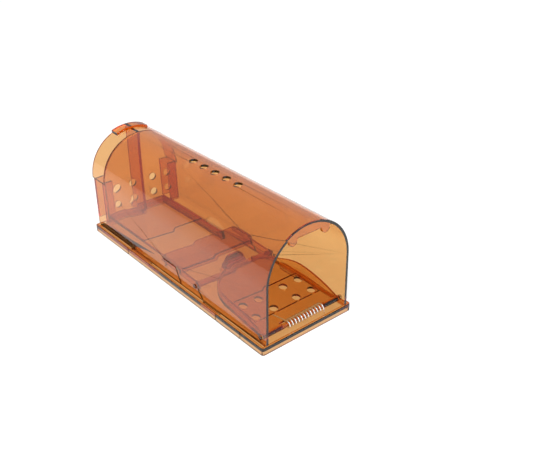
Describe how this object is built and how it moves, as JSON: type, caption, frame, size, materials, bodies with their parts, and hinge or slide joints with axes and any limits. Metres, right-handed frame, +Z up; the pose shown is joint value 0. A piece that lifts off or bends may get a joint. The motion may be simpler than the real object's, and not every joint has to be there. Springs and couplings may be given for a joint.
{
  "type": "live catch trap",
  "caption": "Humane tunnel mouse trap: tray base, arched clear cover with air holes, spring-shut front door latched by a tread plate, and a lift-out bait door.",
  "frame": {"origin": "centre of the base's underside, on the surface the trap stands on", "axes": "+Z up, +Y from the entrance towards the bait door, +X to the right when looking in at the entrance"},
  "size_m": [0.0616, 0.1713, 0.0658],
  "materials": {
    "amber_plastic": "polished transparent amber-brown plastic",
    "spring_steel": "bright drawn spring wire"
  },
  "bodies": {
    "housing": {"base_tray": "amber_plastic", "tunnel_cover": "amber_plastic", "torsion_spring": "spring_steel"},
    "front_door": {"front_door": "amber_plastic"},
    "tread_plate": {"tread_plate": "amber_plastic"},
    "bait_door": {"bait_door": "amber_plastic"}
  },
  "joints": [
    {"name": "door_hinge", "type": "hinge", "parent": "housing", "child": "front_door", "pos_m": [0, -0.08, 0.0073], "axis": [1, 0, 0], "range_deg": [0, 83.2], "deforming": ["torsion_spring"]},
    {"name": "tread_pivot", "type": "hinge", "parent": "housing", "child": "tread_plate", "pos_m": [0, -0.0235, 0.0095], "axis": [1, 0, 0], "range_deg": [-8, 0]},
    {"name": "bait_door_lift", "type": "slide", "parent": "housing", "child": "bait_door", "axis": [0, 0, 1], "range_m": [0, 0.032]}
  ]
}
